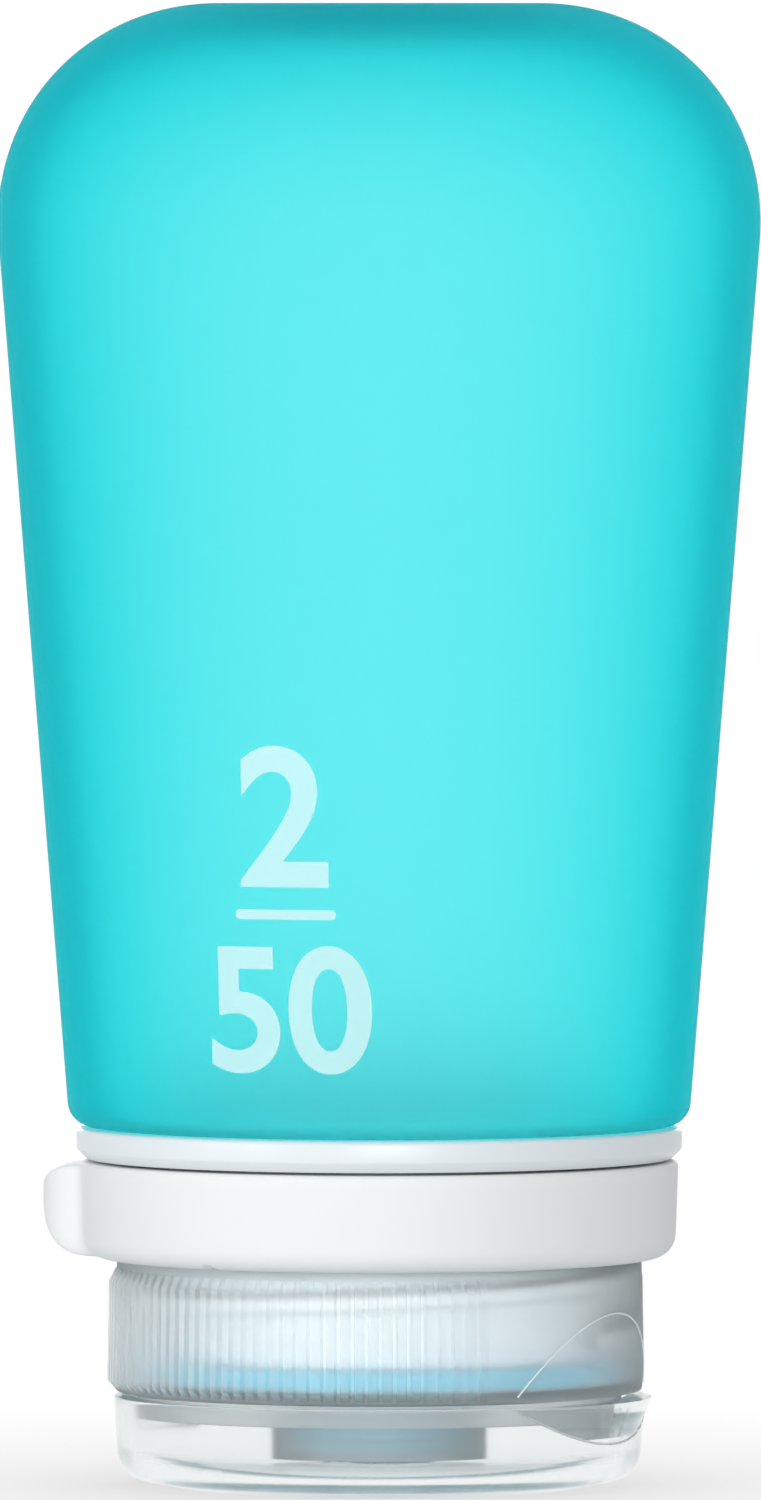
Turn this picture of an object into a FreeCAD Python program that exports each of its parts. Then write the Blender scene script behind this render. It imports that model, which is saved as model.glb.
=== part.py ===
import FreeCAD, Part
import math
import os

# Squeezable silicone travel bottle, standing upside down on its flip lid.
# Sizes are in millimetres and angles in degrees. The origin is the middle of the lid's flat face, +Z runs
# up the axis to the closed silicone base, +X points at the thumb lip and -X at the lid's hinge.

# Shared allowances
overrun = 1.0                # how far a cutting shape runs past what it cuts
snug_gap = 0.05              # between pieces that are pressed or snapped together
seat_gap = 0.1               # between flat faces that press on each other
merge_depth = 0.3            # how far a joined feature is rooted in the piece that carries it
same_spot = 1e-6             # corners nearer than this are one point
full_turn = 360.0

# Silicone body
body_length = 79.65          # from the collar flange to the closed base
body_taper = 4.55            # lean of the side wall
body_wall = 2.3
base_thickness = 2.6
base_corner_radius = 15.6
shoulder_step = 0.5          # shoulder radius beyond the collar flange
shoulder_corner_radius = 1.7
shoulder_thickness = 2.6
shoulder_inner_radius = 3.0
mouth_round_radius = 1.2     # inside edge where the shoulder turns into the neck
neck_bore_radius = 12.6
neck_wall = 1.75
neck_bead_reach = 0.8        # bead at the neck's end, which stops it pulling out of the collar
neck_bead_height = 1.8

# Collar, the threaded neck ring
collar_wall = 1.7
collar_end_round = 0.35
flange_thickness = 2.3
flange_overhang = 0.24       # flange radius beyond the loop ring
flange_top_round = 0.35
flange_chamfer = 0.7
ring_seat_step = 0.2         # seat radius beyond the cap's inner wall
ring_bead_reach = 0.9        # low bead that keeps the loop ring on
ring_bead_height = 0.8
ring_bead_round = 0.3

# Screw thread between collar and cap
thread_lead = 4.0
thread_turns = 1.3
thread_height = 1.0
thread_root_width = 1.6
thread_crest_width = 0.8
thread_gap = 0.3             # radial, crest to wall
thread_play = 0.2            # along the axis, flank to flank
thread_lead_in = 1.5         # from the collar's end to the middle of the first ridge

# Screw cap
cap_height = 12.2
cap_wall = 1.2
cap_draft = 0.2              # how much wider the wall is at the deck than at the rim
cap_edge_round = 0.3
deck_thickness = 0.8
register_height = 1.6        # ring under the deck that centres the lid
register_wall = 1.3
register_gap = 0.4
rib_count_full_circle = 120
rib_height = 0.55
rib_top_drop = 3.4           # from the cap's rim down to the ribs' upper ends
rib_top_fade = 0.9           # height over which the ribs' upper ends run out into the wall
rib_end_chamfer = 0.5
rib_root_share = 0.92        # of the rib pitch
rib_crest_share = 0.55
rib_end_share = 0.15         # of the rib height left at its chamfered ends
thumb_smooth_half_angle = 38.5
hinge_smooth_half_angle = 30.0
thumb_half_angle = 33.2      # half width of the thumb recess and of the lid's lip
thumb_recess_depth = 0.65
thumb_recess_height = 7.0

# Dispensing tower, valve and retainer
tower_radius = 7.6
tower_wall = 1.2
tower_edge_round = 0.4
tower_lid_gap = 0.6          # from the tower's end to the lid's plate
valve_seat_thickness = 0.9
valve_seat_radius = 5.0
valve_flange_thickness = 1.0
valve_dome_radius = 4.6
valve_dome_rise = 1.2
valve_dome_round = 2.4
valve_skin = 0.6
valve_slit_length = 5.6
valve_slit_width = 0.12
retainer_wall = 1.0
retainer_flange_reach = 2.0
retainer_flange_thickness = 0.8

# Flip lid
lid_height = 6.4
lid_step = 0.05              # lid rim radius beyond the cap's
lid_draft = 0.35
lid_wall = 1.25
lid_plate = 1.3
lid_corner_radius = 2.0
lid_inner_corner_radius = 1.6
lid_bevel_width = 3.9        # shallow slope between the flat face and the corner
lid_bevel_rise = 0.75
lid_edge_round = 0.2
lip_reach = 1.0              # thumb lip beyond the lid's rim
lip_drop = 2.5               # height of the lip
plug_radius = 4.0            # boss that closes the tower's mouth
plug_height = 1.1
plug_edge_round = 0.3
parting_gap = 0.3            # between lid rim and cap

# Living hinge
hinge_flat_depth = 0.85      # flat cut into cap and lid for the hinge
hinge_width = 9.0
hinge_pad_height = 2.4
hinge_pad_thickness = 0.6
hinge_film_thickness = 0.3
hinge_groove_height = 0.9

# Sealing ring
seal_thickness = 1.4
seal_gap = 0.3
seal_edge_round = 0.3

# Loop ring
ring_height = 6.8
ring_wall = 2.26
ring_draft = 0.24
ring_clearance = 0.4         # between the ring and the cap's rim
ring_lower_round = 1.7
ring_upper_round = 0.4
ring_below_web = 4.05
ring_web_thickness = 1.9
ring_web_gap = 0.3           # radial, web to seat
ring_bead_gap = 0.2          # along the axis, web to bead
ring_flange_gap = 0.3
cap_rim_gap = 0.3            # cap rim to the collar's bead
tab_angle = 202.0            # direction of the pull tab
tab_reach = 2.9              # tab beyond the ring
tab_width = 6.5
tab_blend_radius = 1.6
tab_tip_round = 1.3
tab_upper_round = 2.2
tab_lower_round = 2.8
notch_angle = 58.5           # from the tab to the small nick on each side of it
notch_width = 1.1
notch_depth = 0.45

# Levels up the axis
lid_rim_z = lid_height
cap_end_z = lid_rim_z + parting_gap
hinge_z = lid_rim_z + parting_gap / 2
deck_top_z = cap_end_z + deck_thickness
seal_bottom_z = deck_top_z + seat_gap
seal_top_z = seal_bottom_z + seal_thickness
collar_end_z = seal_top_z + seat_gap
cap_rim_z = cap_end_z + cap_height
bead_bottom_z = cap_rim_z + cap_rim_gap
bead_top_z = bead_bottom_z + ring_bead_height
web_bottom_z = bead_top_z + ring_bead_gap
ring_bottom_z = web_bottom_z - ring_below_web
ring_top_z = ring_bottom_z + ring_height
flange_bottom_z = ring_top_z + ring_flange_gap
flange_top_z = flange_bottom_z + flange_thickness
base_z = flange_top_z + body_length
tower_end_z = lid_plate + tower_lid_gap
seat_top_z = tower_end_z + valve_seat_thickness
valve_top_z = seat_top_z + valve_flange_thickness
rib_top_z = cap_rim_z - rib_top_drop

# Radii outward from the neck's bore
neck_radius = neck_bore_radius + neck_wall
collar_bore_radius = neck_radius + snug_gap
thread_root_radius = collar_bore_radius + collar_wall
thread_crest_radius = thread_root_radius + thread_height
cap_inner_radius = thread_crest_radius + thread_gap
cap_rim_radius = cap_inner_radius + cap_wall
cap_end_radius = cap_rim_radius + cap_draft
ring_inner_radius = cap_rim_radius + ring_clearance
ring_top_radius = ring_inner_radius + ring_wall
ring_bottom_radius = ring_top_radius - ring_draft
ring_seat_radius = cap_inner_radius + ring_seat_step
ring_web_radius = ring_seat_radius + ring_web_gap
flange_radius = ring_top_radius + flange_overhang
shoulder_radius = flange_radius + shoulder_step
lid_rim_radius = cap_end_radius + lid_step
lid_inner_radius = lid_rim_radius - lid_wall
lid_face_radius = lid_rim_radius - lid_draft
register_radius = lid_inner_radius - register_gap
tower_bore_radius = tower_radius - tower_wall
hinge_flat_x = cap_end_radius - hinge_flat_depth

origin = FreeCAD.Vector(0, 0, 0)
up = FreeCAD.Vector(0, 0, 1)


def side_spot(across, height):
    return FreeCAD.Vector(across, 0, height)


def plan_spot(across, along):
    return FreeCAD.Vector(across, along, 0)


def rounded_face(corners, spot=side_spot):
    """Face of a closed outline. A corner is two coordinates, and a radius where it is rounded."""
    spots = [spot(corner[0], corner[1]) for corner in corners]
    turns = []
    for index, here in enumerate(spots):
        radius = corners[index][2] if len(corners[index]) > 2 else 0
        if not radius:
            turns.append((here, None, here))
            continue
        back = (spots[index - 1] - here).normalize()
        ahead = (spots[(index + 1) % len(spots)] - here).normalize()
        half_angle = back.getAngle(ahead) / 2
        run = radius / math.tan(half_angle)
        inward = (back + ahead).normalize() * (radius / math.sin(half_angle) - radius)
        turns.append((here + back * run, here + inward, here + ahead * run))
    edges = []
    for index, (start, middle, end) in enumerate(turns):
        if middle is not None:
            edges.append(Part.Arc(start, middle, end).toShape())
        following = turns[(index + 1) % len(turns)][0]
        if end.distanceToPoint(following) > same_spot:
            edges.append(Part.LineSegment(end, following).toShape())
    return Part.Face(Part.Wire(edges))


def turned(corners):
    """Solid of revolution of a half section, given as radius, height and corner radius."""
    return rounded_face(corners).revolve(origin, up, full_turn)


def block(low, high):
    """Box between two corners."""
    size = high - low
    return Part.makeBox(size.x, size.y, size.z, low)


def polar(radius, angle, z):
    turn = math.radians(angle)
    return FreeCAD.Vector(radius * math.cos(turn), radius * math.sin(turn), z)


def side_circle(radius, reach):
    """Offset and radius of a circle that passes `reach` beyond a round wall at +X and meets it again at the
    half width of the thumb feature on both sides. A negative reach cuts into the wall."""
    peak = radius + reach
    edge_x = radius * math.cos(math.radians(thumb_half_angle))
    offset = (peak ** 2 - radius ** 2) / (2 * (peak - edge_x))
    return offset, peak - offset


def thread_ridge(root_radius, crest_radius, start_z):
    """One right-hand helical ridge. Its root is sunk into the wall that carries it."""
    outward = 1 if crest_radius > root_radius else -1
    sunk_radius = root_radius - outward * merge_depth
    flare = (thread_root_width - thread_crest_width) / 2 * merge_depth / thread_height
    root_half = thread_root_width / 2 + flare
    crest_half = thread_crest_width / 2
    corners = [
        FreeCAD.Vector(sunk_radius, 0, -root_half),
        FreeCAD.Vector(crest_radius, 0, -crest_half),
        FreeCAD.Vector(crest_radius, 0, crest_half),
        FreeCAD.Vector(sunk_radius, 0, root_half),
    ]
    section = Part.makePolygon(corners + corners[:1])
    spine = Part.Wire(Part.makeHelix(thread_lead, thread_lead * thread_turns, root_radius).Edges)
    ridge = spine.makePipeShell([section], True, True)
    ridge.translate(FreeCAD.Vector(0, 0, start_z))
    return ridge


def silicone_body():
    lean = math.tan(math.radians(body_taper))
    inward = body_wall / math.cos(math.radians(body_taper))
    base_radius = shoulder_radius + body_length * lean
    floor_z = base_z - base_thickness
    inner_shoulder_z = flange_top_z + shoulder_thickness
    bead_radius = neck_radius + neck_bead_reach
    bead_z = collar_end_z + neck_bead_height
    return turned([
        (0, base_z),
        (base_radius, base_z, base_corner_radius),
        (shoulder_radius, flange_top_z, shoulder_corner_radius),
        (neck_radius, flange_top_z),
        (neck_radius, bead_z),
        (bead_radius, bead_z),
        (bead_radius, collar_end_z),
        (neck_bore_radius, collar_end_z),
        (neck_bore_radius, inner_shoulder_z, mouth_round_radius),
        (shoulder_radius - inward + shoulder_thickness * lean, inner_shoulder_z, shoulder_inner_radius),
        (base_radius - inward - base_thickness * lean, floor_z, base_corner_radius - body_wall),
        (0, floor_z),
    ])


def collar():
    counterbore_radius = neck_radius + neck_bead_reach + snug_gap
    counterbore_z = collar_end_z + neck_bead_height + snug_gap
    bead_radius = ring_seat_radius + ring_bead_reach
    ring = turned([
        (collar_bore_radius, flange_top_z),
        (flange_radius, flange_top_z, flange_top_round),
        (flange_radius, flange_bottom_z + flange_chamfer),
        (flange_radius - flange_chamfer, flange_bottom_z),
        (ring_seat_radius, flange_bottom_z),
        (ring_seat_radius, bead_top_z),
        (bead_radius, bead_top_z, ring_bead_round),
        (bead_radius, bead_bottom_z, ring_bead_round),
        (thread_root_radius, bead_bottom_z),
        (thread_root_radius, collar_end_z, collar_end_round),
        (counterbore_radius, collar_end_z),
        (counterbore_radius, counterbore_z),
        (collar_bore_radius, counterbore_z),
    ])
    return ring.fuse(thread_ridge(thread_root_radius, thread_crest_radius, collar_end_z + thread_lead_in))


def seal_ring():
    outer_radius = cap_inner_radius - seal_gap
    return turned([
        (neck_bore_radius, seal_bottom_z, seal_edge_round),
        (outer_radius, seal_bottom_z, seal_edge_round),
        (outer_radius, seal_top_z, seal_edge_round),
        (neck_bore_radius, seal_top_z, seal_edge_round),
    ])


def pull_tab():
    """Lug with a waisted plan and a rounded side outline, pointing along +X."""
    half_width = tab_width / 2
    root_x = ring_inner_radius + ring_wall / 2
    tip_x = ring_top_radius + tab_reach
    flare_y = half_width + tab_blend_radius
    flare_x = math.sqrt(ring_bottom_radius ** 2 - flare_y ** 2)
    plan = rounded_face([
        (ring_inner_radius, -flare_y),
        (flare_x, -flare_y),
        (flare_x, -half_width, tab_blend_radius),
        (tip_x, -half_width, tab_tip_round),
        (tip_x, half_width, tab_tip_round),
        (flare_x, half_width, tab_blend_radius),
        (flare_x, flare_y),
        (ring_inner_radius, flare_y),
    ], plan_spot)
    plan.translate(FreeCAD.Vector(0, 0, ring_bottom_z))
    side = rounded_face([
        (0, ring_bottom_z),
        (tip_x, ring_bottom_z, tab_lower_round),
        (tip_x, ring_top_z, tab_upper_round),
        (0, ring_top_z),
    ])
    side.translate(FreeCAD.Vector(0, -flare_y, 0))
    lug = plan.extrude(up * ring_height).common(side.extrude(FreeCAD.Vector(0, 2 * flare_y, 0)))
    bore = Part.makeCylinder(root_x, ring_height + 2 * overrun, side_spot(0, ring_bottom_z - overrun))
    return lug.cut(bore)


def loop_ring():
    band = turned([
        (ring_inner_radius, ring_bottom_z),
        (ring_bottom_radius, ring_bottom_z, ring_lower_round),
        (ring_top_radius, ring_top_z, ring_upper_round),
        (ring_inner_radius, ring_top_z),
    ])
    web = turned([
        (ring_web_radius, web_bottom_z),
        (ring_inner_radius + merge_depth, web_bottom_z),
        (ring_inner_radius + merge_depth, web_bottom_z + ring_web_thickness),
        (ring_web_radius, web_bottom_z + ring_web_thickness),
    ])
    ring = band.fuse([web, pull_tab()])
    nick = block(
        FreeCAD.Vector(0, -notch_width / 2, ring_bottom_z - overrun),
        FreeCAD.Vector(ring_top_radius + overrun, notch_width / 2, ring_bottom_z + notch_depth),
    )
    for angle in (-notch_angle, notch_angle):
        ring = ring.cut(nick.rotated(origin, up, angle))
    return ring.rotated(origin, up, tab_angle)


def cap_radius_at(z):
    return cap_end_radius + (cap_rim_radius - cap_end_radius) * (z - cap_end_z) / cap_height


def rib_outline(z, height_share, start_angle, rib_count, pitch):
    """Toothed sector at one level, from inside the cap's wall to the rib crests."""
    inner = cap_radius_at(z) - 2 * merge_depth
    root = cap_radius_at(z) - merge_depth
    crest = cap_radius_at(z) + rib_height * height_share
    end_angle = start_angle + rib_count * pitch
    spots = [polar(inner, start_angle, z), polar(root, start_angle, z)]
    for index in range(rib_count):
        middle = start_angle + (index + 1 / 2) * pitch
        for radius, share in ((root, -rib_root_share), (crest, -rib_crest_share),
                              (crest, rib_crest_share), (root, rib_root_share)):
            spots.append(polar(radius, middle + share * pitch / 2, z))
    spots += [polar(root, end_angle, z), polar(inner, end_angle, z)]
    edges = [Part.LineSegment(start, end).toShape() for start, end in zip(spots, spots[1:])]
    middle_angle = (start_angle + end_angle) / 2
    edges.append(Part.Arc(spots[-1], polar(inner, middle_angle, z), spots[0]).toShape())
    return Part.Wire(edges)


def grip_ribs(start_angle, end_angle):
    """One side's run of ribs, chamfered at both ends."""
    pitch = full_turn / rib_count_full_circle
    rib_count = int((end_angle - start_angle) / pitch)
    first_angle = (start_angle + end_angle - rib_count * pitch) / 2
    levels = [
        (cap_end_z + cap_edge_round, rib_end_share),
        (cap_end_z + cap_edge_round + rib_end_chamfer, 1),
        (rib_top_z - rib_top_fade, 1),
        (rib_top_z, rib_end_share),
    ]
    outlines = [rib_outline(z, share, first_angle, rib_count, pitch) for z, share in levels]
    return Part.makeLoft(outlines, True, True)


def thumb_recess():
    """What the thumb recess takes off the cap's wall: all that lies outside a shallow offset cone."""
    offset, end_radius = side_circle(cap_end_radius, -thumb_recess_depth)
    slope = thumb_recess_depth / thumb_recess_height
    low_z = cap_end_z - overrun
    height = thumb_recess_height + 2 * overrun
    low_radius = end_radius - overrun * slope
    cone = Part.makeCone(low_radius, low_radius + height * slope, height, side_spot(offset, low_z))
    reach = cap_end_radius + overrun
    slab = block(
        FreeCAD.Vector(0, -reach, low_z),
        FreeCAD.Vector(reach, reach, low_z + height),
    )
    return slab.cut(cone)


def hinge_flat(low_z, high_z):
    """What the flat for the living hinge takes off the wall at -X."""
    reach = cap_end_radius + rib_height + overrun
    return block(
        FreeCAD.Vector(-reach, -reach, low_z),
        FreeCAD.Vector(-hinge_flat_x, reach, high_z),
    )


def screw_cap():
    register_end_z = cap_end_z - register_height
    cap = turned([
        (valve_seat_radius, tower_end_z),
        (tower_radius, tower_end_z, tower_edge_round),
        (tower_radius, cap_end_z),
        (register_radius - register_wall, cap_end_z),
        (register_radius - register_wall, register_end_z),
        (register_radius, register_end_z),
        (register_radius, cap_end_z),
        (cap_end_radius, cap_end_z, cap_edge_round),
        (cap_rim_radius, cap_rim_z, cap_edge_round),
        (cap_inner_radius, cap_rim_z),
        (cap_inner_radius, deck_top_z),
        (tower_bore_radius, deck_top_z),
        (tower_bore_radius, seat_top_z),
        (valve_seat_radius, seat_top_z),
    ])
    ridge_step = (thread_root_width + thread_crest_width) / 2 + thread_play
    ridge_z = collar_end_z + thread_lead_in + ridge_step
    ridge = thread_ridge(cap_inner_radius, cap_inner_radius - thread_height, ridge_z)
    half_turn = full_turn / 2
    right_ribs = grip_ribs(thumb_smooth_half_angle, half_turn - hinge_smooth_half_angle)
    left_ribs = grip_ribs(half_turn + hinge_smooth_half_angle, full_turn - thumb_smooth_half_angle)
    cap = cap.fuse([ridge, right_ribs, left_ribs])
    flat_top_z = hinge_z + hinge_pad_height + snug_gap
    return cap.cut([thumb_recess(), hinge_flat(cap_end_z - overrun, flat_top_z)])


def valve():
    """Silicone disc with a domed skin, slit crosswise."""
    rim_radius = tower_bore_radius - snug_gap
    dome_z = seat_top_z + valve_dome_rise
    half_dome = valve_dome_radius / 2
    disc = turned([
        (0, dome_z),
        (half_dome, dome_z, valve_dome_round),
        (valve_dome_radius, seat_top_z),
        (rim_radius, seat_top_z),
        (rim_radius, valve_top_z),
        (valve_dome_radius + valve_skin, valve_top_z),
        (half_dome + valve_skin, dome_z + valve_skin, valve_dome_round),
        (0, dome_z + valve_skin),
    ])
    half_length = valve_slit_length / 2
    half_width = valve_slit_width / 2
    slit = block(
        FreeCAD.Vector(-half_length, -half_width, seat_top_z),
        FreeCAD.Vector(half_length, half_width, dome_z + valve_skin + overrun),
    )
    quarter_turn = full_turn / 4
    return disc.cut([slit, slit.rotated(origin, up, quarter_turn)])


def valve_retainer():
    tube_radius = tower_bore_radius - snug_gap
    bore_radius = tube_radius - retainer_wall
    flange_z = deck_top_z + snug_gap
    return turned([
        (bore_radius, valve_top_z + snug_gap),
        (tube_radius, valve_top_z + snug_gap),
        (tube_radius, flange_z),
        (tube_radius + retainer_flange_reach, flange_z),
        (tube_radius + retainer_flange_reach, flange_z + retainer_flange_thickness),
        (bore_radius, flange_z + retainer_flange_thickness),
    ])


def flip_lid():
    shell = turned([
        (0, 0),
        (lid_face_radius - lid_bevel_width, 0),
        (lid_face_radius, lid_bevel_rise, lid_corner_radius),
        (lid_rim_radius, lid_rim_z, lid_edge_round),
        (0, lid_rim_z),
    ])
    offset, lip_radius = side_circle(lid_rim_radius, lip_reach)
    lip_foot = lid_rim_radius - offset
    lip = Part.makeCone(lip_foot, lip_radius, lip_drop, side_spot(offset, lid_rim_z - lip_drop))
    hollow = turned([
        (0, lid_plate),
        (lid_inner_radius, lid_plate, lid_inner_corner_radius),
        (lid_inner_radius, lid_rim_z + overrun),
        (0, lid_rim_z + overrun),
    ])
    plug = turned([
        (0, lid_plate - merge_depth),
        (plug_radius, lid_plate - merge_depth),
        (plug_radius, lid_plate + plug_height, plug_edge_round),
        (0, lid_plate + plug_height),
    ])
    flat_low_z = hinge_z - hinge_pad_height - snug_gap
    lid = shell.fuse(lip).cut(hollow).fuse(plug)
    return lid.cut(hinge_flat(flat_low_z, lid_rim_z + overrun))


def hinge_web():
    """Strip of film on the flats of cap and lid, grooved outside along the fold."""
    outer_x = -hinge_flat_x - hinge_pad_thickness
    film_x = -hinge_flat_x - hinge_film_thickness
    half_groove = hinge_groove_height / 2
    outline = rounded_face([
        (-hinge_flat_x, hinge_z - hinge_pad_height),
        (outer_x, hinge_z - hinge_pad_height),
        (outer_x, hinge_z - half_groove),
        (film_x, hinge_z),
        (outer_x, hinge_z + half_groove),
        (outer_x, hinge_z + hinge_pad_height),
        (-hinge_flat_x, hinge_z + hinge_pad_height),
    ])
    outline.translate(FreeCAD.Vector(0, -hinge_width / 2, 0))
    return outline.extrude(FreeCAD.Vector(0, hinge_width, 0))


nodes = {
    "silicone_body": silicone_body,
    "collar": collar,
    "seal_ring": seal_ring,
    "loop_ring": loop_ring,
    "screw_cap": screw_cap,
    "valve": valve,
    "valve_retainer": valve_retainer,
    "flip_lid": flip_lid,
    "hinge_web": hinge_web,
}

os.makedirs("parts", exist_ok=True)
for node, make in nodes.items():
    make().exportStep(f"parts/{node}.step")
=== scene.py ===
import math
import bmesh
import bpy
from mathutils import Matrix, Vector


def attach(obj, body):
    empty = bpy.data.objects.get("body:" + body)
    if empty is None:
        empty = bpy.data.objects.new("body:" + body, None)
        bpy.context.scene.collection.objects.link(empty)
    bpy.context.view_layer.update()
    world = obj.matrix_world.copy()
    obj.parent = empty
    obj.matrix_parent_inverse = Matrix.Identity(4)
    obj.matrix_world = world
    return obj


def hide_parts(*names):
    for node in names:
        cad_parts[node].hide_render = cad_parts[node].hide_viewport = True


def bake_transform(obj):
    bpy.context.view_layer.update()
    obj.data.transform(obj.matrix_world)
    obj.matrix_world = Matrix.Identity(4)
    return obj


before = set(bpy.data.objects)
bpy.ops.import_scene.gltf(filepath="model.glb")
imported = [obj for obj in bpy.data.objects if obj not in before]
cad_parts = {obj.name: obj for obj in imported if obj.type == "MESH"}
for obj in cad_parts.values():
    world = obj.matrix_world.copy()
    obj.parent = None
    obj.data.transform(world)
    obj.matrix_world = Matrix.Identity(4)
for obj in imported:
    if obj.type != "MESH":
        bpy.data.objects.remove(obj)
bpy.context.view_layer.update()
scene = bpy.context.scene
mm = 0.001
mergeDistance = 0.001
print("frame loaded with", len(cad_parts), "nodes")


def toLinear(hexColour):
    channels = [int(hexColour[i:i + 2], 16) / 255 for i in (1, 3, 5)]
    return [c / 12.92 if c <= 0.04045 else ((c + 0.055) / 1.055) ** 2.4 for c in channels] + [1.0]


def addNode(tree, kind, values=None, links=None, **settings):
    node = tree.nodes.new(kind)
    for name, value in settings.items():
        setattr(node, name, value)
    for socket, value in (values or {}).items():
        node.inputs[socket].default_value = value
    for socket, source in (links or {}).items():
        tree.links.new(source, node.inputs[socket])
    return node


def startMaterial(name):
    material = bpy.data.materials.new(name)
    material.use_nodes = True
    material.node_tree.nodes.clear()
    return material, material.node_tree


def addNoise(tree, size, detail):
    coordinates = addNode(tree, "ShaderNodeTexCoord")
    noise = addNode(tree, "ShaderNodeTexNoise", {"Scale": 1 / (size * mm), "Detail": detail},
                    {"Vector": coordinates.outputs["Object"]})
    return noise.outputs["Fac"]


def mixMaterial(name, finish, underSurfaceDepth=0.8):
    # a moulded plastic or rubber, sizes in mm; what its finish doesn't name stays off
    material, tree = startMaterial(name)
    shader = addNode(tree, "ShaderNodeBsdfPrincipled", {
        "Base Color": toLinear(finish["colour"]),
        "Roughness": finish.get("roughness", 0.5),
        "IOR": finish["ior"],
        "Transmission Weight": finish.get("transmission", 0.0),
        "Specular Tint": [finish.get("gloss", 1.0)] * 3 + [1.0],
        "Subsurface Weight": finish.get("underSurface", 0.0),
        "Subsurface Radius": finish.get("underSurfaceRadius", (1.0, 1.0, 1.0)),
        "Subsurface Scale": underSurfaceDepth * mm})
    if "grain" in finish:
        grain = finish["grain"]
        bump = addNode(tree, "ShaderNodeBump", {"Strength": grain["strength"], "Distance": grain["depth"] * mm},
                       {"Height": addNoise(tree, grain["size"], grain["detail"])})
        tree.links.new(bump.outputs["Normal"], shader.inputs["Normal"])
    if "haze" in finish:
        haze = finish["haze"]
        patches = addNode(tree, "ShaderNodeMapRange", {"To Min": haze["smoothest"], "To Max": haze["roughest"]},
                          {"Value": addNoise(tree, haze["size"], haze["detail"])})
        tree.links.new(patches.outputs["Result"], shader.inputs["Roughness"])
    ends = {"Surface": shader.outputs["BSDF"]}
    if "depthColour" in finish:
        depth = addNode(tree, "ShaderNodeVolumeAbsorption", {
            "Color": toLinear(finish["depthColour"]), "Density": finish["depthDensity"]})
        ends["Volume"] = depth.outputs["Volume"]
    addNode(tree, "ShaderNodeOutputMaterial", links=ends)
    return material


def pick(piece, kind, test):
    # selects the points or faces whose middle, in mm, passes the test, and nothing else
    bpy.ops.mesh.select_mode(type=kind)
    bpy.ops.mesh.select_all(action="DESELECT")
    mesh = bmesh.from_edit_mesh(piece.data)
    if kind == "VERT":
        for point in mesh.verts:
            point.select_set(test(point.co / mm))
    else:
        for face in mesh.faces:
            face.select_set(test(face.calc_center_median() / mm))
    mesh.select_flush_mode()
    bmesh.update_edit_mesh(piece.data)


def mergeDoubles():
    bpy.ops.mesh.select_all(action="SELECT")
    bpy.ops.mesh.remove_doubles(threshold=mergeDistance * mm)


def drawLine(spots):
    # one point extruded from spot to spot, in mm; stays in edit mode
    bpy.ops.object.select_all(action="DESELECT")
    bpy.ops.mesh.primitive_plane_add(size=mm)
    bpy.ops.object.mode_set(mode="EDIT")
    bpy.ops.mesh.select_mode(type="VERT")
    bpy.ops.mesh.select_all(action="SELECT")
    bpy.ops.mesh.merge(type="CENTER")
    bpy.ops.transform.translate(value=spots[0] * mm)
    for here, there in zip(spots, spots[1:]):
        bpy.ops.mesh.extrude_vertices_move(TRANSFORM_OT_translate={"value": (there - here) * mm})
    return bpy.context.object


def drawSection(name, outline, closed, fewestSegments=3, segmentsPerMm=2):
    # half section in the XZ plane; a third value rounds that corner
    spots = [Vector((corner[0], 0, corner[1])) for corner in outline]
    piece = drawLine(spots + spots[:1] if closed else spots)
    piece.name = piece.data.name = name
    if closed:
        mergeDoubles()
    for i, corner in enumerate(outline):
        if len(corner) < 3:
            continue
        here = spots[i]
        rounding = corner[2]
        halfAngle = (spots[i - 1] - here).angle(spots[(i + 1) % len(spots)] - here) / 2
        arcLength = (math.pi - 2 * halfAngle) * rounding
        pick(piece, "VERT", lambda co: (co - here).length < mergeDistance)
        bpy.ops.mesh.bevel(offset=rounding / math.tan(halfAngle) * mm, affect="VERTICES",
                           segments=fewestSegments + round(arcLength * segmentsPerMm))
    return piece


def drawBead(name, spots, thickness, resolution=3):
    # a thin round bead along a line
    drawLine(spots)
    bpy.ops.object.mode_set(mode="OBJECT")
    bpy.ops.object.convert(target="CURVE")
    bead = bpy.context.object
    bead.data.bevel_depth = thickness * mm
    bead.data.bevel_resolution = resolution
    bead.data.use_fill_caps = True
    bpy.ops.object.convert(target="MESH")
    bead = bpy.context.object
    bead.name = bead.data.name = name
    return bead


def spinSection(steps):
    bpy.ops.mesh.select_all(action="SELECT")
    bpy.ops.mesh.spin(steps=steps, angle=math.tau, center=(0, 0, 0), axis=(0, 0, 1))
    mergeDoubles()
    bpy.ops.mesh.normals_make_consistent(inside=False)


def finishPiece(piece, material, body, smoothAngle=40):
    bpy.ops.object.mode_set(mode="OBJECT")
    bpy.ops.object.select_all(action="DESELECT")
    piece.select_set(True)
    bpy.context.view_layer.objects.active = piece
    bpy.ops.object.shade_smooth_by_angle(angle=math.radians(smoothAngle))
    piece.data.materials.clear()
    piece.data.materials.append(material)
    if body:
        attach(piece, body)


def applyModifier(piece, kind, name, **settings):
    bpy.context.view_layer.objects.active = piece
    modifier = piece.modifiers.new(name, kind)
    for key, value in settings.items():
        setattr(modifier, key, value)
    bpy.ops.object.modifier_apply(modifier=modifier.name)


def cutAway(piece, name, cutter):
    applyModifier(piece, "BOOLEAN", name, object=cutter, operation="DIFFERENCE", solver="EXACT")
    bpy.data.objects.remove(cutter)


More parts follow.
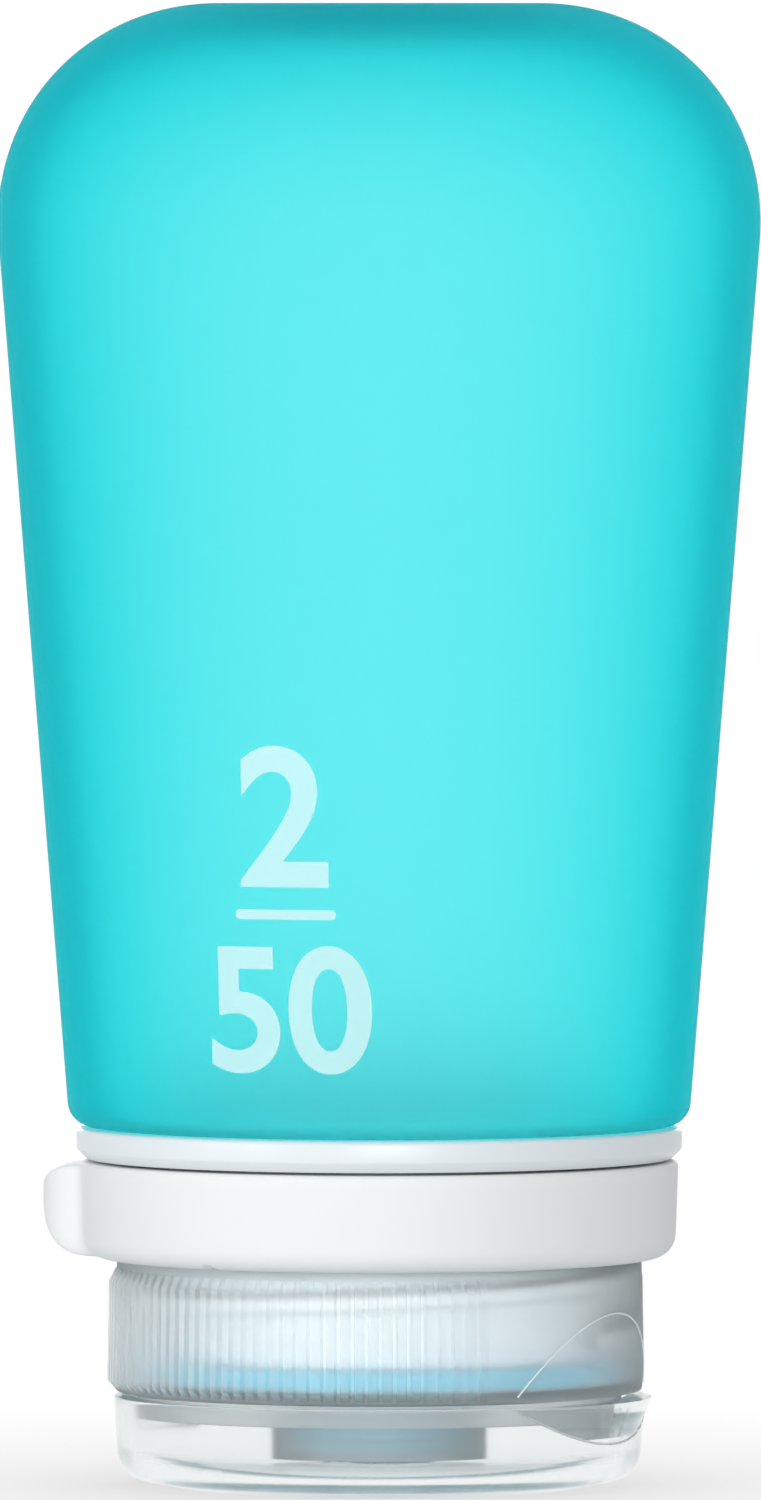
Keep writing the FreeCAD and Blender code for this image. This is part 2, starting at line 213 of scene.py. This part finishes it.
# Silicone, moulded and satin: hardly any gloss, the colour builds up with the depth of wall that light crosses
mouldedSilicone = mixMaterial("mouldedTealSilicone", {
    "colour": "#FFFFFF", "roughness": 0.9, "ior": 1.2, "transmission": 1.0, "gloss": 0.0,
    "depthColour": "#00F5F7", "depthDensity": 430,
    "grain": {"size": 0.35, "detail": 3.0, "strength": 0.04, "depth": 0.02}})

# Pale raised print on the silicone: lighter than the wall, matte
paleMark = mixMaterial("paleMouldedMark", {
    "colour": "#CCFBFD", "roughness": 0.6, "ior": 1.41, "transmission": 0.2})

# Polypropylene, injection moulded in bluish white: soft gloss, a little light gets under the surface
whitePolypropylene = mixMaterial("whitePolypropylene", {
    "colour": "#E9EFF3", "ior": 1.49, "underSurface": 0.1,
    "haze": {"size": 0.8, "detail": 2.0, "smoothest": 0.28, "roughest": 0.32}})

# Thermoplastic rubber, moulded white: matte with a fine grain, soft falloff
whiteRubber = mixMaterial("whiteThermoplasticRubber", {
    "colour": "#F2F3F3", "roughness": 0.62, "ior": 1.5, "underSurface": 0.2,
    "grain": {"size": 0.3, "detail": 4.0, "strength": 0.06, "depth": 0.03}})

# Polypropylene, natural and frosted: milky, what is behind it shows blurred, blue-grey where it is thick
frostedPolypropylene = mixMaterial("frostedPolypropylene", {
    "colour": "#F0F1F1", "roughness": 0.6, "ior": 1.18, "transmission": 0.78, "gloss": 0.4,
    "depthColour": "#86A9B0", "depthDensity": 130,
    "grain": {"size": 0.4, "detail": 3.0, "strength": 0.04, "depth": 0.02}})

# Polypropylene, clarified and polished in the mould: clear with a cool tint where it is thick
clearPolypropylene = mixMaterial("clearPolypropylene", {
    "colour": "#F9FAFA", "ior": 1.4, "transmission": 1.0,
    "depthColour": "#94C8D2", "depthDensity": 30,
    "haze": {"size": 3.0, "detail": 2.0, "smoothest": 0.07, "roughest": 0.14}})

# Silicone sealing washer, moulded blue: satin, opaque enough to colour the cap in front of it
blueSilicone = mixMaterial("blueSilicone", {
    "colour": "#00BEDC", "roughness": 0.45, "ior": 1.41,
    "underSurface": 0.3, "underSurfaceRadius": (0.4, 1.0, 1.0),
    "grain": {"size": 0.4, "detail": 3.0, "strength": 0.05, "depth": 0.02}})

# Silicone of the slit valve: soft and bluish, lets a little light through
naturalSilicone = mixMaterial("naturalSilicone", {
    "colour": "#5FBFD2", "roughness": 0.45, "ior": 1.41, "transmission": 0.3,
    "grain": {"size": 0.4, "detail": 3.0, "strength": 0.05, "depth": 0.02}})

# Polypropylene of the valve's retainer, tinted blue: gives the tower its dark core
tintedPolypropylene = mixMaterial("tintedPolypropylene", {
    "colour": "#35AFC6", "roughness": 0.4, "ior": 1.49,
    "grain": {"size": 0.5, "detail": 3.0, "strength": 0.05, "depth": 0.02}})
print("materials mixed")

# The cap, the valve's retainer and the lid are the CAD solids themselves, and lamps shine through them
for node, material in (("screw_cap", frostedPolypropylene), ("valve_retainer", tintedPolypropylene),
                       ("flip_lid", clearPolypropylene)):
    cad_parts[node].data.materials[0] = material
    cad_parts[node].visible_shadow = False

# Squeezable body: one thick shell with a closed base, a rounded shoulder and a neck inside the collar
body = {"taper": 4.55, "wall": 2.3, "base": 105.2, "baseThickness": 2.6, "baseCorner": 15.6,
        "shoulderRadius": 22.0, "shoulder": 25.55, "shoulderCorner": 1.7, "shoulderThickness": 0.6,
        "neckRadius": 14.35, "neckBore": 12.6, "neckEnd": 9.1, "beadRadius": 15.15, "beadTop": 10.9,
        "neckRound": 0.3, "boreRound": 0.4, "insideRound": 0.8, "steps": 192}
lean = math.tan(math.radians(body["taper"]))
inward = body["wall"] / math.cos(math.radians(body["taper"]))
baseRadius = body["shoulderRadius"] + (body["base"] - body["shoulder"]) * lean
floorInside = body["base"] - body["baseThickness"]
shoulderInside = body["shoulder"] + body["shoulderThickness"]
siliconeBody = drawSection("siliconeBody", [
    (0, body["base"]),
    (baseRadius, body["base"], body["baseCorner"]),
    (body["shoulderRadius"], body["shoulder"], body["shoulderCorner"]),
    (body["neckRadius"], body["shoulder"]),
    (body["neckRadius"], body["beadTop"]),
    (body["beadRadius"], body["beadTop"], body["neckRound"]),
    (body["beadRadius"], body["neckEnd"], body["neckRound"]),
    (body["neckBore"], body["neckEnd"], body["neckRound"]),
    (body["neckBore"], shoulderInside, body["boreRound"]),
    (body["shoulderRadius"] - inward + body["shoulderThickness"] * lean, shoulderInside, body["insideRound"]),
    (baseRadius - inward - body["baseThickness"] * lean, floorInside, body["baseCorner"] - body["wall"]),
    (0, floorInside)], closed=False)
spinSection(body["steps"])
finishPiece(siliconeBody, mouldedSilicone, "bottle")
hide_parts("silicone_body")
print("silicone body spun")

# Fill mark: a plain number over a bar over a plain number, printed on the wall
mark = {"numbers": [("2", 43.65, 13.6), ("50", 30.6, 12.2)], "stroke": 0.02,
        "barWidth": 7.3, "barHeight": 0.7, "barLevel": 41.45, "barRound": 0.3, "barSegments": 4,
        "angle": -79.5, "cutWidth": 14, "strips": 28, "standOff": 40, "thickness": 0.05, "sink": 0.01}


def printMark(name, flatMark):
    # the flat shape is cut into upright strips, laid on the wall from outside and given a little thickness
    bpy.ops.object.mode_set(mode="EDIT")
    for i in range(1, mark["strips"]):
        across = (i / mark["strips"] - 0.5) * mark["cutWidth"]
        bpy.ops.mesh.select_all(action="SELECT")
        bpy.ops.mesh.bisect(plane_co=(across * mm, 0, 0), plane_no=(1, 0, 0))
    bpy.ops.object.mode_set(mode="OBJECT")
    flatMark.name = flatMark.data.name = name
    flatMark.rotation_euler = (math.radians(90), 0, math.radians(90))
    bpy.ops.object.transform_apply(location=True, rotation=True, scale=True)
    flatMark.location.x = mark["standOff"] * mm
    bpy.ops.object.transform_apply(location=True, rotation=False, scale=False)
    applyModifier(flatMark, "SHRINKWRAP", "lay", target=siliconeBody, wrap_method="PROJECT", use_project_x=True,
                  use_negative_direction=True, use_positive_direction=False, offset=-mark["sink"] * mm)
    applyModifier(flatMark, "SOLIDIFY", "ink", thickness=(mark["thickness"] + mark["sink"]) * mm, offset=1)
    flatMark.rotation_euler = (0, 0, math.radians(mark["angle"]))
    bpy.ops.object.transform_apply(location=False, rotation=True, scale=False)
    finishPiece(flatMark, paleMark, "bottle", smoothAngle=30)


for digits, level, size in mark["numbers"]:
    bpy.ops.object.select_all(action="DESELECT")
    bpy.ops.object.text_add(location=(0, 0, 0))
    number = bpy.context.object
    number.data.body = digits
    number.data.align_x = "CENTER"
    number.data.size = size * mm
    number.data.offset = mark["stroke"] * size * mm
    bpy.ops.object.convert(target="MESH")
    number = bpy.context.object
    number.location.y = level * mm
    bpy.ops.object.transform_apply(location=True, rotation=False, scale=False)
    printMark("fillNumber" + digits, number)
bpy.ops.object.select_all(action="DESELECT")
bpy.ops.mesh.primitive_plane_add(size=1, location=(0, mark["barLevel"] * mm, 0))
bar = bpy.context.object
bar.scale = (mark["barWidth"] * mm, mark["barHeight"] * mm, 1)
bpy.ops.object.transform_apply(location=True, rotation=False, scale=True)
bpy.ops.object.mode_set(mode="EDIT")
bpy.ops.mesh.select_all(action="SELECT")
bpy.ops.mesh.bevel(offset=mark["barRound"] * mm, affect="VERTICES", segments=mark["barSegments"])
printMark("fillBar", bar)
print("fill mark printed")

# Threaded collar: flange under the shoulder, seat and bead for the loop ring, and one and a bit turns of thread
collar = {"bore": 14.4, "flangeRadius": 21.5, "flangeTop": 25.5, "flangeBottom": 23.25, "flangeRound": 0.35,
          "chamfer": 0.7, "chamferUpperRound": 0.25, "chamferLowerRound": 0.15, "seatRadius": 17.6,
          "beadRadius": 18.5, "beadTop": 20.0, "beadBottom": 19.2, "beadRound": 0.3, "rootRadius": 16.1,
          "end": 9.1, "endRound": 0.35, "counterbore": 15.2, "counterboreTop": 10.95, "steps": 192}
threadedCollar = drawSection("threadedCollar", [
    (collar["bore"], collar["flangeTop"]),
    (collar["flangeRadius"], collar["flangeTop"], collar["flangeRound"]),
    (collar["flangeRadius"], collar["flangeBottom"] + collar["chamfer"], collar["chamferUpperRound"]),
    (collar["flangeRadius"] - collar["chamfer"], collar["flangeBottom"], collar["chamferLowerRound"]),
    (collar["seatRadius"], collar["flangeBottom"]),
    (collar["seatRadius"], collar["beadTop"]),
    (collar["beadRadius"], collar["beadTop"], collar["beadRound"]),
    (collar["beadRadius"], collar["beadBottom"], collar["beadRound"]),
    (collar["rootRadius"], collar["beadBottom"]),
    (collar["rootRadius"], collar["end"], collar["endRound"]),
    (collar["counterbore"], collar["end"]),
    (collar["counterbore"], collar["counterboreTop"]),
    (collar["bore"], collar["counterboreTop"])], closed=True)
spinSection(collar["steps"])
finishPiece(threadedCollar, whitePolypropylene, "bottle")
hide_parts("collar")

# The collar's thread: one ridge section turned and lifted round the axis
thread = {"lead": 4.0, "turns": 1.3, "crestRadius": 17.1, "crestWidth": 0.8, "crestRound": 0.12,
          "rootWidth": 1.6, "buried": 0.3, "start": 10.6, "steps": 120}
threadFoot = collar["rootRadius"] - thread["buried"]
collarThread = drawSection("collarThread", [
    (threadFoot, thread["start"] - thread["rootWidth"] / 2),
    (thread["crestRadius"], thread["start"] - thread["crestWidth"] / 2, thread["crestRound"]),
    (thread["crestRadius"], thread["start"] + thread["crestWidth"] / 2, thread["crestRound"]),
    (threadFoot, thread["start"] + thread["rootWidth"] / 2)], closed=True)
bpy.ops.mesh.select_all(action="SELECT")
bpy.ops.mesh.edge_face_add()
bpy.ops.object.mode_set(mode="OBJECT")
applyModifier(collarThread, "SCREW", "helix", angle=math.tau * thread["turns"],
              screw_offset=thread["lead"] * thread["turns"] * mm, steps=thread["steps"],
              render_steps=thread["steps"], use_merge_vertices=False)
finishPiece(collarThread, whitePolypropylene, "bottle")
print("collar spun and threaded")

# Sealing washer between the collar's end and the cap's deck
washer = {"bore": 12.6, "radius": 17.1, "bottom": 7.6, "top": 9.0, "round": 0.3, "steps": 144}
sealWasher = drawSection("sealWasher", [
    (washer["bore"], washer["bottom"], washer["round"]),
    (washer["radius"], washer["bottom"], washer["round"]),
    (washer["radius"], washer["top"], washer["round"]),
    (washer["bore"], washer["top"], washer["round"])], closed=True)
spinSection(washer["steps"])
finishPiece(sealWasher, blueSilicone, "seal")
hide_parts("seal_ring")

# Loop ring: a band with an inner web that snaps over the collar's bead, a soft pull tab and two nicks.
# Each step of the tab's growth is how far it goes out, then how much narrower and lower it gets.
loop = {"innerRadius": 19.0, "topRadius": 21.26, "bottomRadius": 21.02, "bottom": 16.15, "top": 23.05,
        "lowerRound": 1.7, "upperRound": 0.4, "edgeRound": 0.2, "wallRows": (3.2, 4.8), "webRadius": 17.9,
        "webBottom": 20.2, "webTop": 22.1, "steps": 180,
        "tabAngle": 202.0, "tabHalfAngle": 9.2, "tabInset": 0.9, "tabBottomMargin": 0.2, "tabTopMargin": 0.3,
        "tabRise": 1.1, "tabFlatten": 0.6,
        "tabGrowth": [(0.7, 0.93, 0.99), (0.6, 0.92, 0.957), (0.7, 0.83, 0.873), (0.5, 0.75, 0.8),
                      (0.3, 0.64, 0.71), (0.1, 0.6, 0.56)],
        "nickAngle": 58.5, "nickWidth": 1.1, "nickDepth": 0.45, "nickLength": 6, "nickRadius": 20,
        "nickSides": 32}
wallSlope = (loop["topRadius"] - loop["bottomRadius"]) / (loop["top"] - loop["bottom"])
loopRing = drawSection("loopRing", [
    (loop["innerRadius"], loop["bottom"], loop["edgeRound"]),
    (loop["bottomRadius"], loop["bottom"], loop["lowerRound"]),
    *[(loop["bottomRadius"] + row * wallSlope, loop["bottom"] + row) for row in loop["wallRows"]],
    (loop["topRadius"], loop["top"], loop["upperRound"]),
    (loop["innerRadius"], loop["top"], loop["edgeRound"]),
    (loop["innerRadius"], loop["webTop"]),
    (loop["webRadius"], loop["webTop"], loop["edgeRound"]),
    (loop["webRadius"], loop["webBottom"], loop["edgeRound"]),
    (loop["innerRadius"], loop["webBottom"])], closed=True)
spinSection(loop["steps"])


def underTab(co):
    return (abs(math.atan2(co.y, co.x)) < math.radians(loop["tabHalfAngle"])
            and co.xy.length > loop["bottomRadius"] - loop["tabInset"]
            and loop["bottom"] + loop["tabBottomMargin"] < co.z < loop["top"] - loop["tabTopMargin"])


pick(loopRing, "FACE", underTab)
tabMiddle = Vector((loop["bottomRadius"], 0, (loop["bottom"] + loop["top"]) / 2 + loop["tabRise"]))
for outward, narrower, lower in loop["tabGrowth"]:
    bpy.ops.mesh.extrude_region_move(TRANSFORM_OT_translate={"value": (outward * mm, 0, 0)})
    tabMiddle.x += outward
    bpy.ops.transform.resize(value=(loop["tabFlatten"], narrower, lower), center_override=tabMiddle * mm)
bpy.ops.object.mode_set(mode="OBJECT")
loopRing.rotation_euler.z = math.radians(loop["tabAngle"])
bpy.ops.object.transform_apply(location=False, rotation=True, scale=False)
applyModifier(loopRing, "SUBSURF", "softness", levels=1, render_levels=1)
nickLevel = loop["bottom"] + loop["nickDepth"] - loop["nickWidth"] / 2
for turn in (-loop["nickAngle"], loop["nickAngle"]):
    heading = math.radians(loop["tabAngle"] + turn)
    nickPlace = Vector((
        loop["nickRadius"] * math.cos(heading), loop["nickRadius"] * math.sin(heading), nickLevel))
    bpy.ops.object.select_all(action="DESELECT")
    bpy.ops.mesh.primitive_cylinder_add(
        vertices=loop["nickSides"], radius=loop["nickWidth"] / 2 * mm, depth=loop["nickLength"] * mm,
        rotation=(0, math.radians(90), heading), location=nickPlace * mm)
    cutAway(loopRing, "nick", bpy.context.object)
finishPiece(loopRing, whiteRubber, "loop", smoothAngle=60)
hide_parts("loop_ring")
print("loop ring spun, tab pulled out")

# Slit valve: a domed disc in the tower's seat, cut crosswise
valve = {"rim": 6.35, "seat": 2.8, "top": 3.8, "rimRound": 0.2, "dome": 4.6, "rise": 1.2, "skin": 0.6,
         "domeRound": 2.4, "steps": 72, "slitLength": 5.6, "slitWidth": 0.12, "slitDepth": 4}
domeInside = valve["seat"] + valve["rise"]
slitValve = drawSection("slitValve", [
    (0, domeInside),
    (valve["dome"] / 2, domeInside, valve["domeRound"]),
    (valve["dome"], valve["seat"]),
    (valve["rim"], valve["seat"], valve["rimRound"]),
    (valve["rim"], valve["top"], valve["rimRound"]),
    (valve["dome"] + valve["skin"], valve["top"]),
    (valve["dome"] / 2 + valve["skin"], domeInside + valve["skin"], valve["domeRound"]),
    (0, domeInside + valve["skin"])], closed=False)
spinSection(valve["steps"])
bpy.ops.object.mode_set(mode="OBJECT")
for turn in (0, 90):
    bpy.ops.object.select_all(action="DESELECT")
    bpy.ops.mesh.primitive_cube_add(
        size=1, location=(0, 0, domeInside * mm), rotation=(0, 0, math.radians(turn)),
        scale=(valve["slitLength"] * mm, valve["slitWidth"] * mm, valve["slitDepth"] * mm))
    cutAway(slitValve, "slit", bpy.context.object)
finishPiece(slitValve, naturalSilicone, "cap", smoothAngle=30)
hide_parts("valve")


def recessEdge(edge):
    # where the slanted round face of the thumb recess meets the round wall, up or down from the edge's level
    wall = edge["wallRadius"]
    deepest = wall + edge["reach"]
    offset = (deepest ** 2 - wall ** 2) / (2 * (deepest - wall * math.cos(math.radians(edge["halfAngle"]))))
    spots = []
    for i in range(edge["steps"] + 1):
        heading = math.radians(edge["halfAngle"] * (2 * i / edge["steps"] - 1))
        away = math.hypot(wall * math.cos(heading) - offset, wall * math.sin(heading))
        travel = (away - deepest + offset) / (edge["slope"] + edge["draft"])
        if travel > edge["nearest"]:
            radius = wall - travel * edge["draft"]
            spots.append(Vector((radius * math.cos(heading), radius * math.sin(heading),
                                 edge["level"] + edge["up"] * travel)))
    return spots


# Thumb recess of the cap: a thin white bead follows its edge, an arch on the cap's round wall. Its white is a
# painted highlight, the line of light that the recess edge catches.
rim = {"wallRadius": 18.8, "draft": 0.0164, "level": 6.7, "up": 1, "halfAngle": 33.2, "reach": -0.65,
       "slope": 0.0929, "nearest": 0.35, "thickness": 0.07, "steps": 48}
thumbHighlightBead = drawBead("thumbHighlightBead", recessEdge(rim), rim["thickness"])
finishPiece(thumbHighlightBead, whitePolypropylene, "cap", smoothAngle=60)

# Lower half of the thumb recess: a thin frosted bead on the lid, where the flared lip leaves the round wall.
# Its frosted colour is a painted highlight, the line of light along that edge.
lip = {"wallRadius": 18.85, "draft": 0.062, "level": 6.4, "up": -1, "halfAngle": 33.2, "reach": 1.0,
       "slope": -0.4, "nearest": 0.3, "thickness": 0.09, "steps": 48}
lipHighlightBead = drawBead("lipHighlightBead", recessEdge(lip), lip["thickness"])
finishPiece(lipHighlightBead, frostedPolypropylene, "lid", smoothAngle=60)

# Living hinge: a strip on the flats of cap and lid, thinned along the fold
hinge = {"flat": -17.95, "pad": 0.6, "padHeight": 2.4, "padRound": 0.15, "film": 0.3, "fold": 6.55,
         "groove": 0.45, "foldSteps": 4, "width": 9.0}
foldPoints = []
for i in range(-hinge["foldSteps"], hinge["foldSteps"] + 1):
    along = i / hinge["foldSteps"]
    thick = hinge["film"] + (hinge["pad"] - hinge["film"]) * along ** 2
    foldPoints.append((thick, hinge["fold"] + hinge["groove"] * along))
padBottom = hinge["fold"] - hinge["padHeight"]
padTop = hinge["fold"] + hinge["padHeight"]
hingeWeb = drawSection("hingeWeb", [
    (hinge["flat"], padBottom),
    (hinge["flat"] - hinge["pad"], padBottom, hinge["padRound"]),
    *[(hinge["flat"] - thick, height) for thick, height in foldPoints],
    (hinge["flat"] - hinge["pad"], padTop, hinge["padRound"]),
    (hinge["flat"], padTop),
    *[(hinge["flat"], height) for thick, height in reversed(foldPoints)]], closed=True)
bpy.ops.mesh.select_all(action="SELECT")
bpy.ops.mesh.edge_face_add()
bpy.ops.transform.translate(value=(0, -hinge["width"] / 2 * mm, 0))
bpy.ops.mesh.extrude_region_move(TRANSFORM_OT_translate={"value": (0, hinge["width"] * mm, 0)})
bpy.ops.mesh.select_all(action="SELECT")
bpy.ops.mesh.normals_make_consistent(inside=False)
finishPiece(hingeWeb, clearPolypropylene, None, smoothAngle=30)
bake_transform(hingeWeb)
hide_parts("hinge_web")
print("valve, recess edges and hinge made")

# Plain pale floor in a white studio. The camera sees only its shade, so a lid that swings past it still shows.
studio = {"floorSize": 640, "floorSink": 0.02, "floorColour": "#F4F4F4", "floorRoughness": 0.7,
          "shade": 0.5, "shadeReach": 70.0, "shadeSamples": 16, "ambient": 0.4, "lampAim": 50}
bpy.ops.object.select_all(action="DESELECT")
bpy.ops.mesh.primitive_plane_add(size=studio["floorSize"] * mm, location=(0, 0, -studio["floorSink"] * mm))
floor = bpy.context.object
floor.name = "paleFloor"
paleFloor, tree = startMaterial("paleFloor")
openness = addNode(tree, "ShaderNodeAmbientOcclusion", {"Distance": studio["shadeReach"] * mm},
                   samples=studio["shadeSamples"])
shade = addNode(tree, "ShaderNodeMapRange", {"From Min": 1.0, "From Max": 0.0, "To Max": studio["shade"]},
                {"Value": openness.outputs["AO"]})
clear = addNode(tree, "ShaderNodeBsdfTransparent")
dark = addNode(tree, "ShaderNodeEmission", {"Color": (0, 0, 0, 1)})
shadow = addNode(tree, "ShaderNodeMixShader", links={
    0: shade.outputs["Result"], 1: clear.outputs["BSDF"], 2: dark.outputs["Emission"]})
surface = addNode(tree, "ShaderNodeBsdfPrincipled", {
    "Base Color": toLinear(studio["floorColour"]), "Roughness": studio["floorRoughness"]})
rays = addNode(tree, "ShaderNodeLightPath")
seen = addNode(tree, "ShaderNodeMixShader", links={
    0: rays.outputs["Is Camera Ray"], 1: surface.outputs["BSDF"], 2: shadow.outputs["Shader"]})
addNode(tree, "ShaderNodeOutputMaterial", links={"Surface": seen.outputs["Shader"]})
floor.data.materials.append(paleFloor)
floor.visible_transmission = False  # the clear pieces show the white studio behind them
floor.visible_glossy = False

world = bpy.data.worlds.new("whiteStudio")
scene.world = world
world.use_nodes = True
tree = world.node_tree
tree.nodes.clear()
rays = addNode(tree, "ShaderNodeLightPath")
cameraOrGlossy = addNode(tree, "ShaderNodeMath", operation="MAXIMUM", links={
    0: rays.outputs["Is Camera Ray"], 1: rays.outputs["Is Glossy Ray"]})
seen = addNode(tree, "ShaderNodeMath", operation="MAXIMUM", links={
    0: cameraOrGlossy.outputs[0], 1: rays.outputs["Is Transmission Ray"]})
brightness = addNode(tree, "ShaderNodeMapRange", {"To Min": studio["ambient"], "To Max": 1.0},
                     {"Value": seen.outputs[0]})
background = addNode(tree, "ShaderNodeBackground", {"Color": (1, 1, 1, 1)},
                     {"Strength": brightness.outputs["Result"]})
addNode(tree, "ShaderNodeOutputWorld", links={"Surface": background.outputs["Background"]})

# The silicone and the clear lid show the white studio through their walls, and don't glow when a lamp stands
# behind them. The rear lamp only fills the white rings, so it doesn't shine through the frosted cap either.
frontLit = bpy.data.collections.new("frontLit")
rearLit = bpy.data.collections.new("rearLit")
clearPieces = [siliconeBody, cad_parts["flip_lid"], hingeWeb]
for lit, unlitPieces in ((frontLit, clearPieces), (rearLit, clearPieces + [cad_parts["screw_cap"]])):
    for piece in unlitPieces:
        lit.objects.link(piece)
    for unlit in lit.collection_objects:
        unlit.light_linking.link_state = "EXCLUDE"

# Three softboxes, places and sizes in mm: a key from the left, a front fill from the right and a rear fill
softboxes = {
    "keySoftbox": {"place": (-450, -950, 220), "size": 700, "power": 3.7, "lit": frontLit},
    "frontSoftbox": {"place": (650, -1090, 160), "size": 600, "power": 6.8, "lit": frontLit},
    "rearSoftbox": {"place": (-590, 1160, 350), "size": 700, "power": 5.0, "lit": rearLit}}
for name, softbox in softboxes.items():
    place = Vector(softbox["place"]) * mm
    facing = Vector((0, 0, studio["lampAim"] * mm)) - place
    bpy.ops.object.select_all(action="DESELECT")
    bpy.ops.object.light_add(type="AREA", location=place)
    lamp = bpy.context.object
    lamp.name = name
    lamp.data.size = softbox["size"] * mm
    lamp.data.energy = softbox["power"]
    lamp.light_linking.receiver_collection = softbox["lit"]
    lamp.rotation_euler = facing.to_track_quat("-Z", "Y").to_euler()

# Where the photograph was taken from: level with the bottle's upper end, turned from -Y towards the lip
shot = {"azimuth": 27.0, "distance": 1500, "height": 104.5, "aim": 52.2, "aside": -0.09, "frameHeight": 106.5,
        "sensor": 36, "clipStart": 50, "bounces": 32}
toCamera = Vector((math.sin(math.radians(shot["azimuth"])), -math.cos(math.radians(shot["azimuth"])), 0))
aside = Vector((-toCamera.y, toCamera.x, 0)) * shot["aside"] * mm
lookAt = Vector((0, 0, shot["aim"] * mm)) - aside
cameraPlace = toCamera * shot["distance"] * mm + Vector((0, 0, shot["height"] * mm)) - aside
facing = lookAt - cameraPlace
bpy.ops.object.select_all(action="DESELECT")
bpy.ops.object.camera_add(location=cameraPlace, rotation=facing.to_track_quat("-Z", "Y").to_euler())
camera = bpy.context.object
camera.data.sensor_width = shot["sensor"]
camera.data.lens = shot["sensor"] * facing.length / (shot["frameHeight"] * mm)
camera.data.clip_start = shot["clipStart"] * mm
scene.camera = camera
scene.view_settings.view_transform = "Standard"
scene.cycles.max_bounces = shot["bounces"]  # light crosses many clear walls
scene.cycles.transmission_bounces = shot["bounces"]
scene.cycles.glossy_bounces = shot["bounces"]
print("studio and camera set")
